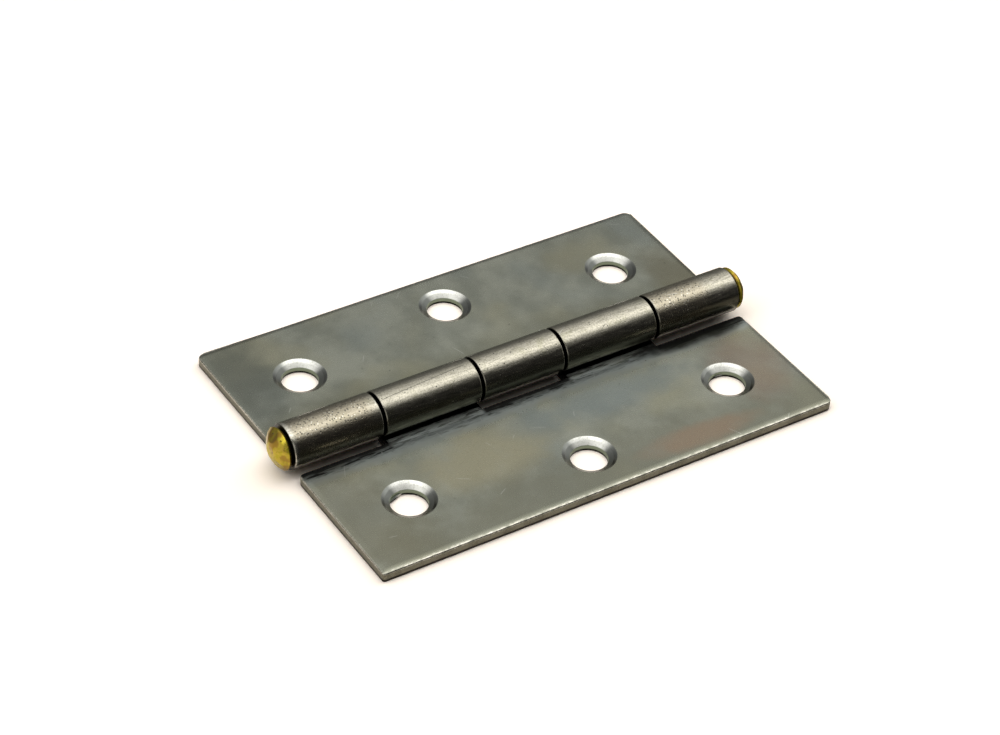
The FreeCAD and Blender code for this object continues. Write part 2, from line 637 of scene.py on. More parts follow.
@dataclass(frozen=True)
class SteelFinish:
    """Bare rolled sheet, dull and cloudy on the flats and rubbed bright on the knuckles."""

    name: str
    press: Press
    side: Side
    stains: tuple[Stain, ...]
    scratches: tuple[Scratch, ...] = ()
    pitted: tuple[Band, ...] = ()
    own_knuckles: tuple[int, ...] = (1, 3)

    # Colours
    dark: Colour = (0.178, 0.190, 0.160)
    light: Colour = (0.262, 0.274, 0.232)
    olive: Colour = (0.262, 0.256, 0.180)
    blue: Colour = (0.200, 0.226, 0.214)
    rubbed: Colour = (0.390, 0.372, 0.312)
    sheared: Colour = (0.115, 0.110, 0.080)
    torn: Colour = (0.180, 0.172, 0.130)
    # Painted highlight and painted shade of the countersinks
    bright: Colour = (0.52, 0.525, 0.50)
    dull: Colour = (0.125, 0.132, 0.124)
    tan: Colour = (0.300, 0.262, 0.190)
    # Painted highlight on the upper edges, and painted glints on flakes
    edge_glint: Colour = (0.56, 0.545, 0.48)
    # Painted shade on the back leaf by the knuckles and on the knuckles' flanks; also the darker grit on
    # the knuckles
    shade: Colour = (0.130, 0.128, 0.088)
    # Rubbed, and made pale with painted light, on the front leaf's band by the knuckles
    worn: Colour = (0.330, 0.365, 0.360)
    pit: Colour = (0.05, 0.05, 0.04)
    glint: Colour = (0.55, 0.56, 0.53)
    wall: Colour = (0.200, 0.235, 0.175)
    # Painted light on the front leaf's flat right beside the knuckles
    beside: Colour = (0.66, 0.72, 0.70)
    # Near black, for the painted shade on the front leaf by the knuckles
    painted_row_shade: Colour = (0.012, 0.012, 0.011)
    # Near black, for painted shade
    painted_shade: Colour = (0.010, 0.010, 0.008)

    # Noises, specks and scratches
    clouds: Noise = (8.0 * MM, 3.0, 0.5)
    mottle: Noise = (2.2 * MM, 3.0, 0.55)
    ragged_edge: Noise = (4.0 * MM, 4.0, 0.6)
    hues: Noise = (12.0 * MM, 2.0, 0.5)
    drawn_lines: Noise = (0.36 * MM, 3.0, 0.6)
    drawn_scale: Scale = (0.13, 1.0, 1.0)
    streaks: Noise = (0.3 * MM, 4.0, 0.65)
    streak_scale: Scale = (0.14, 1.0, 1.0)
    blotches: Noise = (2.4 * MM, 3.0, 0.55)
    grit: Noise = (0.22 * MM, 2.0, 0.6)
    grain: Noise = (0.2 * MM, 3.0, 0.6)
    grain_scale: Scale = (0.3, 1.0, 1.0)
    pits: Specks = (0.55 * MM, 0.13 * MM, 0.22)
    rash_pits: Specks = (0.32 * MM, 0.15 * MM, 0.62)
    rash_flake_glints: Specks = (0.36 * MM, 0.14 * MM, 0.45)
    dark_specks: Specks = (1.5 * MM, 0.14 * MM, 0.13)
    light_specks: Specks = (2.4 * MM, 0.16 * MM, 0.15)
    net_turn: float = 0.7
    nicks: Lines = (1.7 * MM, 0.8 * MM, 0.035 * MM, 0.30, 0.5 * math.pi)
    marks: Lines = (4.6 * MM, 1.3 * MM, 0.05 * MM, 0.22, math.pi)

    # Flats
    cloud_share: float = 0.7
    tone_band: Band = (0.34, 0.66)
    olive_band: Band = (0.5, 0.7)
    olive_share: float = 0.6
    blue_band: Band = (0.48, 0.3)
    blue_share: float = 0.5
    rag_reach: float = 2.4 * MM
    # Painted shade on the back leaf towards its knuckles
    shade_reach: Band = (11.0 * MM, 4.5 * MM)
    shade_share: float = 0.7
    upper_face: Band = (0.3 * MM, 0.6 * MM)
    row_in: Band = (3.5 * MM, 4.2 * MM)
    row_out: Band = (7.0 * MM, 4.9 * MM)
    beside_in: Band = (2.55 * MM, 2.85 * MM)
    beside_out: Band = (4.6 * MM, 3.7 * MM)
    beside_painted_light_share: float = 0.45
    # Dark streaks, painted as shade, near the knuckles
    drawn_band: Band = (0.50, 0.60)
    drawn_reach: Band = (6.0 * MM, 4.2 * MM)
    drawn_share: float = 0.7
    # Painted shade on the front leaf by the knuckles, less beside its own knuckles
    painted_row_shade_rag: float = 4.0 * MM
    painted_row_shade_reach: Band = (5.0 * MM, 3.9 * MM)
    painted_row_shade_share: float = 0.97
    painted_row_shade_spared: float = 0.72
    own_edge: Band = (0.2 * MM, 0.6 * MM)

    # Knuckles
    knuckle_edge: Band = (0.3 * MM, 0.1 * MM)
    worn_down: float = 0.7
    streak_band: Band = (0.3, 0.62)
    blotch_band: Band = (0.52, 0.7)
    blotch_share: float = 0.45
    # Painted shade on the knuckles' back and lower front, by angle round the pin
    flank_shades: tuple[tuple[Band, float], ...] = (((0.05, 0.40), 0.5), ((-0.95, -1.35), 0.45),
                                              ((-1.5, -1.66), 0.5))
    rash_start: float = 0.5 * MM
    rash_end: float = 2.0 * MM
    rash_band: Band = (0.33, 0.43)
    grit_band: Band = (0.46, 0.62)
    grit_share: float = 0.34
    tan_share: float = 0.55
    flake_glint_share: float = 0.7

    # Marks
    speck_share: float = 0.7
    pit_share: float = 0.85
    nick_share: float = 0.7
    mark_share: float = 0.5

    # Edges and sheared sides, by their distance from the edge that they lie at
    # Painted highlight along the upper edges
    arris_width: Band = (0.62 * MM, 0.06 * MM)
    arris_power: float = 1.8
    end_narrowing: float = 1.8
    arris_foot: Band = (-0.42 * MM, -0.30 * MM)
    glint_grain_least: float = 0.3
    glint_grain_band: Band = (0.56, 0.44)
    glint_patches_least: float = 0.45
    glint_patches_band: Band = (0.38, 0.60)
    side_top: Band = (-0.02 * MM, -0.14 * MM)
    side_foot: Band = (0.0, 0.05 * MM)
    side_in: Band = (-0.3 * MM, -0.1 * MM)
    torn_band: Band = (0.42, 0.56)
    seam_top: Band = (1.30 * MM, 1.24 * MM)
    seam_foot: Band = (1.08 * MM, 1.16 * MM)
    seam_share: float = 0.6
    # Painted contact shadow low on the cut sides
    foot_low: Band = (0.0, 0.02 * MM)
    foot_top: Band = (0.46 * MM, 0.32 * MM)
    foot_share: float = 0.92

    # Screw holes
    hole_edge: Band = (0.03 * MM, -0.03 * MM)
    above_back: Band = (0.01 * MM, 0.04 * MM)
    wall_out: Band = (0.06 * MM, 0.03 * MM)
    wall_in: Band = (-0.08 * MM, -0.04 * MM)
    wall_top: Band = (0.92 * MM, 0.80 * MM)
    # Painted shade at the foot of the hole walls
    wall_foot_shade_top: Band = (0.34 * MM, 0.24 * MM)
    near_band: Band = (-0.1, -0.7)
    far_band: Band = (0.50, 0.84)
    far_grit: Band = (0.45, 0.7)
    far_grit_share: float = 0.5

    # Painted shade in the joints, low on the rolls and on the notches' faces
    joint_face: Band = (0.08 * MM, 0.03 * MM)
    joint_reach: Band = (3.6 * MM, 3.4 * MM)
    roll_top: Band = (3.1 * MM, 2.4 * MM)
    roll_out: Band = (2.95 * MM, 2.7 * MM)
    roll_in: Band = (1.7 * MM, 2.1 * MM)
    notch_top: Band = (-0.12 * MM, -0.22 * MM)
    notch_out: Band = (0.08 * MM, 0.02 * MM)
    notch_in: Band = (-0.12 * MM, -0.05 * MM)

    # Roughness
    flat_roughness: float = 0.26
    rubbed_roughness: float = 0.23
    hole_roughness: float = 0.22
    sheared_roughness: float = 0.45
    grit_roughness: float = 0.12
    row_roughness: float = 0.12
    beside_roughness: float = 0.25
    streak_roughness: float = 0.22

    # Relief of each mark, in parts of the bump's depth
    grain_relief: float = 0.5
    grit_relief: float = 0.35
    speck_relief: float = 1.5
    mark_relief: float = 0.8
    streak_relief: float = 1.8
    pit_relief: float = 2.5
    knuckle_grit_relief: float = 0.9
    nick_relief: float = 1.5
    bump_strength: float = 0.4
    bump_depth: float = 0.012 * MM

    def on_knuckle(self, y: Value, z: Value) -> Value:
        """Where the sheet is rolled.

        Args:
            y: place across the leaves.
            z: height over the back faces.

        Returns:
            1 on the rolled part and 0 on the flat.
        """
        rise = z - self.press.axis_height
        radius = (y * y + rise * rise) ** 0.5
        return radius.fade_from(self.press.knuckle_radius, self.knuckle_edge)

    def hole_masks(self, x: Value, y: Value, z: Value) -> tuple[Value, Value, Value]:
        """Where the screw holes are.

        Args:
            x: place along the pin.
            y: place across the leaves.
            z: height over the back faces.

        Returns:
            1 on the countersinks and walls; from 1 on their far sides to -1 on their near sides,
            and 0 outside; and 1 on the walls.
        """
        above_back = z.fade(*self.above_back)
        inside, ahead, nearest = None, None, None
        for hole_x, hole_y in self.press.hole_places(self.side):
            left, up = x - hole_x, y - hole_y
            away = (left * left + up * up) ** 0.5
            mask = away.fade_from(self.press.countersink_radius, self.hole_edge) * above_back
            share = mask * (left * FAR[0] + up * FAR[1]) / away
            inside = mask if inside is None else inside.most(mask)
            ahead = share if ahead is None else ahead + share
            nearest = away if nearest is None else nearest.least(away)
        radius = self.press.hole_radius
        wall = nearest.fade_from(radius, self.wall_out) * nearest.fade_from(radius, self.wall_in)
        return inside, ahead, wall * z.fade(*self.wall_top)

    def painted_shade_cover(self, x: Value, y: Value, z: Value) -> Value:
        """Where shade is painted.

        Args:
            x: place along the pin.
            y: place across the leaves.
            z: height over the back faces.

        Returns:
            1 between the knuckles, low on the rolls and on the notches' faces, and 0 elsewhere.
        """
        press = self.press
        away = abs(y)
        joints = self.in_joint(x) * away.fade(*self.joint_reach)
        rolls = z.fade(*self.roll_top) * away.fade(*self.roll_out) * away.fade(*self.roll_in)
        notches = (z.fade_from(press.sheet, self.notch_top)
                   * away.fade_from(press.notch_edge, self.notch_out)
                   * away.fade_from(press.notch_edge, self.notch_in))
        return joints.most(rolls).most(notches)

    def on_arris(self, x: Value, y: Value, z: Value) -> Value:
        """Where a highlight is painted on the rolled-over edge of the upper face.

        Args:
            x: place along the pin.
            y: place across the leaves.
            z: height over the back faces.

        Returns:
            1 on the edge, fading to 0 in the face.
        """
        press = self.press
        low, high = press.plate_ends
        inset = (press.leaf_width - abs(y)).least(((x - low).least(high - x)) * self.end_narrowing)
        return inset.fade(*self.arris_width) ** self.arris_power * z.fade_from(press.sheet, self.arris_foot)

    def on_sheared_face(self, y: Value, z: Value) -> Value:
        """Where the plate's cut sides are, between its back and its arris.

        Args:
            y: place across the leaves.
            z: height over the back faces.

        Returns:
            1 on the cut sides and 0 elsewhere.
        """
        top = self.press.sheet - self.press.roll_drop
        height = z.fade_from(top, self.side_top) * z.fade(*self.side_foot)
        return height * abs(y).fade_from(self.press.notch_edge, self.side_in)

    def in_joint(self, x: Value) -> Value:
        """Where the end faces of the knuckles are.

        Args:
            x: place along the pin.

        Returns:
            1 on the end faces and 0 between them.
        """
        nearest = None
        for start, end in self.press.spans():
            for station in (start, end):
                away = abs(x - station)
                nearest = away if nearest is None else nearest.least(away)
        return nearest.fade(*self.joint_face)

    def flat_colour(self, nodes: Nodes, place: Value, x: Value, y: Value, z: Value) -> Value:
        """Cloudy passivated steel with faint stains, and painted light and shade beside the knuckles.

        Args:
            nodes: the material's nodes.
            place: place on the leaf.
            x: place along the pin.
            y: place across the leaves.
            z: height over the back faces.

        Returns:
            The colour of the flats.
        """
        clouds = nodes.noise(place, *self.clouds)
        mottle = nodes.noise(place, *self.mottle)
        rag = nodes.noise(place, *self.ragged_edge)
        hue = nodes.noise(place, *self.hues)
        tone = (clouds * self.cloud_share + mottle * (1 - self.cloud_share)).fade(*self.tone_band)
        flat = nodes.mix(tone, self.dark, self.light)
        flat = nodes.mix(hue.fade(*self.olive_band) * self.olive_share, flat, self.olive)
        flat = nodes.mix(hue.fade(*self.blue_band) * self.blue_share, flat, self.blue)
        away = abs(y) + (rag - NOISE_MIDDLE) * self.rag_reach
        drawn = None
        if self.side is Side.BACK:
            # Painted shade: the back leaf darkens towards its knuckles
            flat = nodes.mix(away.fade(*self.shade_reach) * self.shade_share, flat, self.shade)
        else:
            face = z.fade(*self.upper_face)
            # Painted light and real rubbing: a pale band by the knuckles
            flat = nodes.mix(self.rubbed_band_with_painted_light(away) * face, flat, self.worn)
            # Painted light on the flat beside the knuckles
            flat = nodes.mix(self.beside_rolls(y) * face * self.beside_painted_light_share, flat, self.beside)
            # Dark streaks, painted as shade, in the band by the knuckles
            drawn = nodes.noise(nodes.stretch(place, self.drawn_scale), *self.drawn_lines)
            lines = drawn.fade(*self.drawn_band) * away.fade(*self.drawn_reach) * face
            flat = nodes.mix(lines * self.drawn_share, flat, self.pit)
        for stain in self.stains:
            flat = nodes.mix(stain.cover(x, y, rag), flat, stain.tint)
        # Painted shade: a ragged black band on the front leaf along the knuckles
        if drawn is not None:
            ragged = abs(y) + (drawn - NOISE_MIDDLE) * self.painted_row_shade_rag
            share = self.painted_row_shade_share - self.at_own_knuckle(x) * self.painted_row_shade_spared
            flat = nodes.mix(ragged.fade(*self.painted_row_shade_reach) * share * face, flat, self.painted_row_shade)
        return flat

    def at_own_knuckle(self, x: Value) -> Value:
        """Where the front leaf's own knuckles are along the pin.

        Args:
            x: place along the pin.

        Returns:
            1 along the knuckles and 0 at the notches.
        """
        shares = []
        out, within = self.own_edge
        for number in self.own_knuckles:
            start, end = self.press.spans()[number]
            shares.append(x.fade(start - out, start + within) * x.fade(end + out, end - within))
        return sum(shares)

    def rubbed_band_with_painted_light(self, away: Value) -> Value:
        """1 on the front leaf's band beside the knuckles, which is rubbed dull and made pale with painted
        light.
        """
        return away.fade(*self.row_in) * away.fade(*self.row_out)

    def beside_rolls(self, y: Value) -> Value:
        """1 on the front leaf's flat right beside the knuckles, where it mirrors their dark sides and gets
        painted light.
        """
        return abs(y).fade(*self.beside_in) * abs(y).fade(*self.beside_out)

    def knuckle_colour(self, nodes: Nodes, streaks: Value, blotches: Value, lean: Value) -> Value:
        """Rubbed steel with streaks along the pin, darker blotches, and painted shade on the flanks.

        Args:
            nodes: the material's nodes.
            streaks: noise drawn out along the pin.
            blotches: coarse noise.
            lean: angle round the knuckle from its top, in radians.

        Returns:
            The colour of the knuckles.
        """
        worn_down = tuple(self.worn_down * c for c in self.rubbed)
        worn = nodes.mix(streaks.fade(*self.streak_band), worn_down, self.rubbed)
        worn = nodes.mix(blotches.fade(*self.blotch_band) * self.blotch_share, worn, self.olive)
        # Painted shade on the flanks
        flank_shade = sum(lean.fade(*band) * share for band, share in self.flank_shades)
        return nodes.mix(flank_shade, worn, self.shade)

    def paint(self) -> bpy.types.Material:
        """Builds the material.

        Returns:
            The new material.
        """
        material = bpy.data.materials.new(self.name)
        material.use_nodes = True
        nodes = Nodes(material.node_tree)
        place = nodes.place()
        x, y, z = nodes.parts_of(place)
        knuckle = self.on_knuckle(y, z)
        hole, ahead, wall = self.hole_masks(x, y, z)
        arris = self.on_arris(x, y, z)
        sheared = self.on_sheared_face(y, z)
        turn = y.turn_to(z - self.press.axis_height) * self.press.knuckle_radius
        lean = turn / self.press.knuckle_radius
        unrolled = nodes.point(x, turn)

        streaks = nodes.noise(nodes.stretch(unrolled, self.streak_scale), *self.streaks)
        blotches = nodes.noise(unrolled, *self.blotches)
        grit = nodes.noise(place, *self.grit)
        grain = nodes.noise(nodes.stretch(place, self.grain_scale), *self.grain)
        pits = nodes.specks(unrolled, *self.pits)
        rashes = [x.fade(start - self.rash_start, start) * x.fade(end + self.rash_end, end)
                  for start, end in self.pitted]
        if rashes:
            rash = sum(rashes) * blotches.fade(*self.rash_band)
            pits = pits.most(nodes.specks(unrolled, *self.rash_pits) * rash)
            flake_glints = nodes.specks(nodes.stretch(unrolled, UNSCALED, self.net_turn), *self.rash_flake_glints)
            flake_glints = flake_glints * rash * knuckle
        pits = pits * knuckle
        nicks = nodes.scratches(x, turn, *self.nicks) * knuckle
        for scratch in self.scratches:
            nicks = nicks.most(scratch.cover(x, turn) * knuckle)
        dark_specks = nodes.specks(place, *self.dark_specks)
        light_specks = nodes.specks(nodes.stretch(place, UNSCALED, self.net_turn), *self.light_specks)
        marks = nodes.scratches(x, y, *self.marks)

        flat = self.flat_colour(nodes, place, x, y, z)
        base = nodes.mix(knuckle, flat, self.knuckle_colour(nodes, streaks, blotches, lean))
        base = nodes.mix(knuckle * grit.fade(*self.grit_band) * self.grit_share, base, self.shade)
        if rashes:
            base = nodes.mix(sum(rashes) * knuckle * self.tan_share, base, self.tan)
            # Painted glints on flakes in the pitted patches
            base = nodes.mix(flake_glints * self.flake_glint_share, base, self.edge_glint)
        base = nodes.mix(sheared, base, self.side_colour(nodes, z, grit, blotches))
        dirt = (dark_specks * self.speck_share).most(pits * self.pit_share).most(nicks * self.nick_share)
        base = nodes.mix(dirt, base, self.pit)
        base = nodes.mix(light_specks.most(marks) * self.mark_share, base, self.glint)
        # Painted highlight along the upper edges, broken up by grain and patches
        glint_grain = self.glint_grain_least + grain.fade(*self.glint_grain_band) * (1 - self.glint_grain_least)
        glint_patches = self.glint_patches_least + blotches.fade(*self.glint_patches_band) * (1 - self.glint_patches_least)
        base = nodes.mix(arris * (glint_grain * glint_patches), base, self.edge_glint)
        # Painted highlight and painted shade on the countersinks
        base = nodes.mix(hole, base, self.countersink_painted_light(nodes, ahead, grit))
        base = nodes.mix(wall, base, self.wall)
        # Painted contact shadow near the floor, low on the sides
        foot = z.fade(*self.foot_low) * z.fade(*self.foot_top) * self.foot_share * (1 - hole)
        # Painted shade low on the hole walls
        wall_foot_shade = wall * z.fade(*self.wall_foot_shade_top)
        # Painted shade in the joints, low on the rolls, on the notches' faces, low on the hole walls and
        # near the floor
        base = nodes.mix(self.painted_shade_cover(x, y, z).most(wall_foot_shade).most(foot), base, self.painted_shade)

        rough = self.flat_roughness + (grit - NOISE_MIDDLE) * self.grit_roughness
        if self.side is Side.FRONT:
            rough = rough + self.rubbed_band_with_painted_light(abs(y)) * self.row_roughness
            rough = rough + self.beside_rolls(y) * self.beside_roughness
        streaked = self.rubbed_roughness + (streaks - NOISE_MIDDLE) * self.streak_roughness
        for cover, level in ((knuckle, streaked), (hole, self.hole_roughness),
                             (sheared, self.sheared_roughness)):
            rough = nodes.mix_numbers(cover, rough, level)
        height = grain * self.grain_relief + grit * self.grit_relief - dark_specks * self.speck_relief
        height = height + marks * self.mark_relief + light_specks
        rolled = streaks * self.streak_relief - pits * self.pit_relief + grit * self.knuckle_grit_relief
        height = height + knuckle * rolled - nicks * self.nick_relief
        nodes.finish_metal(base, rough, height, self.bump_strength, self.bump_depth)
        return material

    def side_colour(self, nodes: Nodes, z: Value, grit: Value, blotches: Value) -> Value:
        """Smooth and torn patches, with a dark line under the rolled-over edge.

        Args:
            nodes: the material's nodes.
            z: height over the back faces.
            grit: fine noise.
            blotches: coarse noise.

        Returns:
            The colour of the cut sides.
        """
        patches = ((grit + blotches) / 2).fade(*self.torn_band)
        side = nodes.mix(patches, self.sheared, self.torn)
        return nodes.mix(z.fade(*self.seam_top) * z.fade(*self.seam_foot) * self.seam_share, side, self.pit)

    def countersink_painted_light(self, nodes: Nodes, ahead: Value, grit: Value) -> Value:
        """Painted light by the way each part faces: a painted highlight on the far sides, darker across,
        and painted shade on the near sides.

        Args:
            nodes: the material's nodes.
            ahead: from 1 on the far sides to -1 on the near sides.
            grit: fine noise.

        Returns:
            The colour of the countersinks.
        """
        near_side = nodes.mix(ahead.fade(*self.near_band), self.dull, self.sheared)
        far_side = nodes.mix(grit.fade(*self.far_grit) * self.far_grit_share, self.bright, self.light)
        return nodes.mix(ahead.fade(*self.far_band), near_side, far_side)


@dataclass(frozen=True)
class BrassFinish:
    """Hammered brass, olive yellow with brown tarnish, and a shank painted black as shade."""

    name: str
    press: Press
    fresh: Colour = (0.440, 0.325, 0.050)
    greenish: Colour = (0.350, 0.300, 0.024)
    tarnish: Colour = (0.230, 0.125, 0.026)
    pit: Colour = (0.04, 0.02, 0.008)
    # Near black, for the shank's painted shade
    painted_shade: Colour = (0.008, 0.008, 0.007)
    clouds: Noise = (1.7 * MM, 2.0, 0.5)
    fine: Noise = (0.4 * MM, 3.0, 0.6)
    pits: Specks = (0.9 * MM, 0.17 * MM, 0.22)
    green_band: Band = (0.35, 0.65)
    tarnish_band: Band = (0.52, 0.62)
    tarnish_share: float = 0.75
    pit_share: float = 0.85
    painted_shade_band: Band = (0.12 * MM, 0.0)
    roughness: float = 0.30
    cloud_roughness: float = 0.25
    cloud_relief: float = 1.5
    fine_relief: float = 0.5
    pit_relief: float = 2.0
    bump_strength: float = 0.5
    bump_depth: float = 0.04 * MM

    def paint(self) -> bpy.types.Material:
        """Builds the material.

        Returns:
            The new material.
        """
        material = bpy.data.materials.new(self.name)
        material.use_nodes = True
        nodes = Nodes(material.node_tree)
        place = nodes.place()
        out = abs(nodes.parts_of(place)[0])
        clouds = nodes.noise(place, *self.clouds)
        fine = nodes.noise(place, *self.fine)
        base = nodes.mix(fine.fade(*self.green_band), self.fresh, self.greenish)
        base = nodes.mix(clouds.fade(*self.tarnish_band) * self.tarnish_share, base, self.tarnish)
        pits = nodes.specks(place, *self.pits)
        base = nodes.mix(pits * self.pit_share, base, self.pit)
        # Painted shade: the shank, seen only in the gaps between knuckles, is black
        base = nodes.mix(out.fade_from(self.press.length / 2, self.painted_shade_band), base, self.painted_shade)
        rough = self.roughness + (clouds - NOISE_MIDDLE) * self.cloud_roughness
        height = clouds * self.cloud_relief + fine * self.fine_relief - pits * self.pit_relief
        nodes.finish_metal(base, rough, height, self.bump_strength, self.bump_depth)
        return material


@dataclass
class Leaf:
    """One leaf: a plate with its tongues rolled into knuckles and its screw holes punched."""

    name: str
    node: str
    body: str
    slot: str
    side: Side
    knuckles: tuple[int, ...]
    press: Press
    finish: SteelFinish
    inner_corner_radius: float = 0.0
    outer_corners: tuple[float, float] = (1.0 * MM, 1.0 * MM)
    burrs: tuple[Burr, ...] = ()
    crown_steps: int = 5
    corner_steps: int = 6
    lead_steps: int = 8
    roll_steps: int = 64
    hole_steps: int = 96
    round_steps: int = 3
    sharp_angle: float = 25.0
    rim_depth: float = 0.1 * MM
    cutter_reach: float = 1.0 * MM
    burr_root: float = 0.03 * MM
    piece: bpy.types.Object = field(init=False, default=None)

    def across(self, distance: float) -> float:
        """Y of a distance from the axis, on this leaf's side."""
        return self.side.value * distance

    def build(self) -> bpy.types.Object:
        """Models the leaf and hands it to its body.

        Returns:
            The finished piece.
        """
        self.cut_blank()
        self.roll_tongues()
        self.thicken()
        self.crown_edges()
        self.punch_holes()
        self.round_edges()
        self.tear_burrs()
        finish_mesh(self.piece, self.name)
        self.dress()
        return self.piece

    def cut_blank(self) -> None:
        """Lays out the plate as a flat sheet with rounded corners and cuts at the knuckles."""
        press = self.press
        centre = (press.plate_shift, self.across((press.notch_edge + press.leaf_width) / 2), 0.0)
        bpy.ops.mesh.primitive_plane_add(size=1.0, location=centre)
        self.piece = bpy.context.object
        bpy.ops.object.transform_apply(location=True, rotation=True, scale=True)
        with edit_mode(self.piece):
            bpy.ops.mesh.select_all(action="SELECT")
            size = (press.length, press.leaf_width - press.notch_edge, 1.0)
            bpy.ops.transform.resize(value=size, center_override=centre)
            for end, radius in zip(press.plate_ends, self.outer_corners):
                self.round_corner(end, press.leaf_width, radius)
                if self.inner_corner_radius > 0:
                    self.round_corner(end, press.notch_edge, self.inner_corner_radius)
            for number in self.knuckles:
                for station in press.spans()[number]:
                    if press.plate_ends[0] + TINY < station < press.plate_ends[1] - TINY:
                        self.score((station, 0.0, 0.0), (1.0, 0.0, 0.0))
            for step in range(1, self.crown_steps + 1):
                inset = press.roll_width * step / self.crown_steps
                self.score((0.0, self.across(press.leaf_width - inset), 0.0), (0.0, 1.0, 0.0))
                self.score((press.plate_ends[0] + inset, 0.0, 0.0), (1.0, 0.0, 0.0))
                self.score((press.plate_ends[1] - inset, 0.0, 0.0), (1.0, 0.0, 0.0))
            self.score((0.0, self.across(press.notch_edge + press.tongue_root), 0.0), (0.0, 1.0, 0.0))

    @staticmethod
    def score(place: Place, across: Place) -> None:
        """Cuts a line right across the blank, through a place and square to a direction."""
        bpy.ops.mesh.select_all(action="SELECT")
        bpy.ops.mesh.bisect(plane_co=place, plane_no=across)

    def round_corner(self, end: float, distance: float, radius: float) -> None:
        """Rounds one corner of the blank.

        Args:
            end: X of the corner.
            distance: from the axis to it.
            radius: of the rounding.
        """
        corner = Vector((end, self.across(distance), 0.0))
        pick(self.piece, "VERT", lambda place: (place - corner).length < TINY)
        bpy.ops.mesh.bevel(offset=radius, segments=self.corner_steps, affect="VERTICES")

    def roll_tongues(self) -> None:
        """Draws each tongue out of the plate and rolls it round the pin."""
        press = self.press
        lead_radius = press.knuckle_radius + press.lead_bend
        bend_start = press.bend_start
        lead_turn = math.pi / 2 - math.atan2(lead_radius - press.axis_height, bend_start)
        seam_drop = press.axis_height - press.sheet - press.seam_gap
        roll_turn = 3 * math.pi / 2 - lead_turn + math.asin(seam_drop / press.knuckle_radius)
        with edit_mode(self.piece):
            pick(self.piece, "EDGE", self.is_tongue_root)
            extrude(Vector((0.0, self.across(bend_start - press.notch_edge), 0.0)))
            self.widen_to_row()
            bpy.ops.mesh.spin(steps=self.lead_steps, angle=self.side.value * lead_turn,
                              center=(0.0, self.across(bend_start), lead_radius), axis=(1.0, 0.0, 0.0))
            bpy.ops.mesh.spin(steps=self.roll_steps, angle=self.side.value * roll_turn,
                              center=(0.0, 0.0, press.axis_height), axis=(1.0, 0.0, 0.0))

    def widen_to_row(self) -> None:
        """Takes the first tongue out to the row's end, which stands past the plate's."""
        start = self.across(self.press.bend_start)
        plate_end = self.press.plate_ends[0]
        row_end = self.press.spans()[0][0]
        if pick(self.piece, "VERT", lambda place: abs(place.y - start) < TINY
                and abs(place.x - plate_end) < TINY):
            bpy.ops.transform.translate(value=(row_end - plate_end, 0.0, 0.0))
        pick(self.piece, "EDGE", lambda a, b: abs(a.y - start) < TINY and abs(b.y - start) < TINY)

    def is_tongue_root(self, first: Vector, second: Vector) -> bool:
        """Tells whether a tongue grows from an edge of the blank.

        Args:
            first: one end of the edge.
            second: its other end.

        Returns:
            True for such an edge.
        """
        press = self.press
        root = self.across(press.notch_edge)
        if abs(first.y - root) > TINY or abs(second.y - root) > TINY:
            return False
        middle = (first.x + second.x) / 2
        return any(press.spans()[n][0] < middle < press.spans()[n][1] for n in self.knuckles)

    def thicken(self) -> None:
        """Gives the rolled surface, which is the back of the sheet, its thickness."""
        with edit_mode(self.piece):
            bpy.ops.mesh.select_all(action="SELECT")
            bpy.ops.mesh.remove_doubles(threshold=TINY)
            bpy.ops.mesh.normals_make_consistent(inside=False)
            mesh = bmesh.from_edit_mesh(self.piece.data)
            plate = max(mesh.faces, key=lambda face: self.side.value * face.calc_center_median().y)
            if plate.normal.z < 0:
                bpy.ops.mesh.flip_normals()
        apply_modifier(self.piece, "SOLIDIFY", thickness=self.press.sheet, offset=1.0,
                       use_even_offset=True, use_quality_normals=True)

    def is_on_arris(self, place: Vector) -> bool:
        """Tells whether a place is on the upper edge of the plate's three outer sides.

        Args:
            place: a place on the thickened sheet.

        Returns:
            True on that edge.
        """
        press = self.press
        out = self.across(place.y)
        if out < press.notch_edge + press.tongue_root - TINY or place.z < press.sheet - TINY:
            return False
        for end, radius in zip(press.plate_ends, self.outer_corners):
            along = radius - abs(place.x - end)
            over = radius - (press.leaf_width - out)
            if along > 0 and over > 0:
                return math.hypot(along, over) > radius - TINY
        return press.leaf_width - out < TINY or min(abs(place.x - end) for end in press.plate_ends) < TINY

    def crown_edges(self) -> None:
        """Lets the face fall away gently towards the plate's three outer sides."""
        with edit_mode(self.piece):
            pick(self.piece, "VERT", self.is_on_arris)
            bpy.ops.transform.translate(value=(0.0, 0.0, -self.press.roll_drop), use_proportional_edit=True,
                                        proportional_edit_falloff="SHARP",
                                        proportional_size=self.press.roll_width)

    def punch_holes(self) -> None:
        """Punches and countersinks the three screw holes."""
        cutters = [self.hole_cutter(x, y) for x, y in self.press.hole_places(self.side)]
        make_active(cutters[0])
        for cutter in cutters[1:]:
            cutter.select_set(True)
        bpy.ops.object.join()
        apply_modifier(self.piece, "BOOLEAN", object=cutters[0], operation="DIFFERENCE", solver="EXACT")
        bpy.data.objects.remove(cutters[0])

